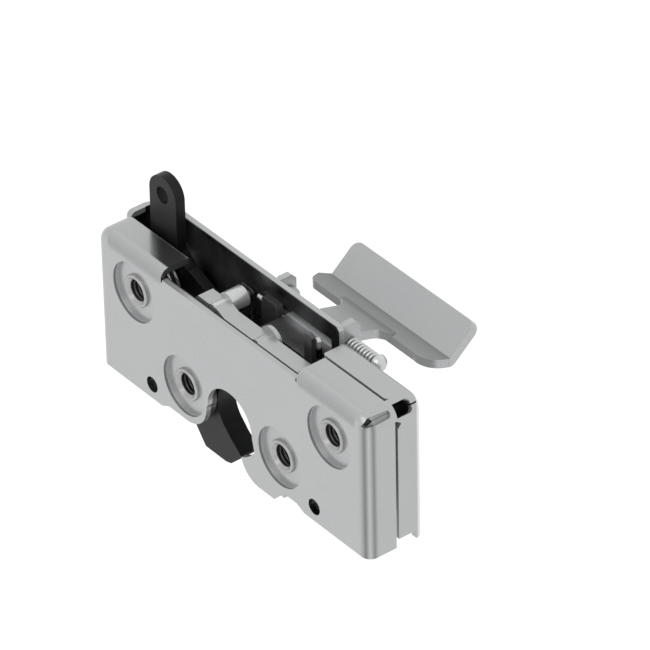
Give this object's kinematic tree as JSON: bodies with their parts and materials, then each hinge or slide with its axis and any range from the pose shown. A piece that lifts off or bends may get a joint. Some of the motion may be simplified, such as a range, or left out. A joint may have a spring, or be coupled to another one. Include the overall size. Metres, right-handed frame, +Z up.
{
  "type": "cab door latch",
  "caption": "Rotary cab door latch: pressed shells hold a fork rotor, its pawl and a release crank; a sprung paddle behind releases it from inside.",
  "frame": {"origin": "centre of the pattern of the four threaded holes, on the front mounting face", "axes": "+X along the latch's length, +Y from the mounting face to the paddle, +Z up, with the rotor's mouth facing down"},
  "size_m": [0.123, 0.0534, 0.0756],
  "materials": {
    "zinc_steel": "satin zinc plate",
    "dark_steel": "black, semi-matt",
    "spring_steel": "bright wire"
  },
  "bodies": {
    "housing": {"front_shell": "zinc_steel", "rear_shell": "zinc_steel", "sleeve_upper_left": "zinc_steel", "sleeve_upper_right": "zinc_steel", "sleeve_lower_left": "zinc_steel", "sleeve_lower_right": "zinc_steel", "rotor_spring": "spring_steel", "rotor_spacer": "dark_steel", "pawl_spacer": "dark_steel", "crank_spring": "spring_steel", "crank_front_spacer": "dark_steel", "crank_washer": "dark_steel", "hinge_pin": "zinc_steel", "pin_ring": "spring_steel", "paddle_spring": "spring_steel", "anchor_plate": "dark_steel", "anchor_pin": "zinc_steel"},
    "fork": {"rotor": "dark_steel"},
    "pawl_lever": {"pawl": "zinc_steel", "pawl_stud": "zinc_steel", "pawl_button": "zinc_steel", "pawl_spring": "spring_steel"},
    "crank": {"release_crank": "dark_steel"},
    "inside_paddle": {"paddle": "zinc_steel", "catch_pin": "zinc_steel"}
  },
  "joints": [
    {"name": "paddle_hinge", "type": "hinge", "parent": "housing", "child": "inside_paddle", "pos_m": [0, 0.0233, 0.0205], "axis": [1, 0, 0], "range_deg": [-24, 0], "stiffness_Nm_per_rad": 0.15, "springref_deg": 20.05},
    {"name": "pawl_pivot", "type": "hinge", "parent": "housing", "child": "pawl_lever", "pos_m": [0.0446, 0, 0.0101], "axis": [0, 1, 0], "range_deg": [0, 6]},
    {"name": "rotor_pivot", "type": "hinge", "parent": "housing", "child": "fork", "pos_m": [-0.0219, 0, -0.0101], "axis": [0, 1, 0], "range_deg": [0, 36]},
    {"name": "crank_pivot", "type": "hinge", "parent": "housing", "child": "crank", "pos_m": [-0.0446, 0, 0.0101], "axis": [0, 1, 0], "range_deg": [-10.8, 0]}
  ],
  "couplings": [
    {"joint": "pawl_pivot", "follows": "paddle_hinge", "ratio": -0.25},
    {"joint": "rotor_pivot", "follows": "paddle_hinge", "ratio": -1.5},
    {"joint": "crank_pivot", "follows": "paddle_hinge", "ratio": 0.45}
  ]
}
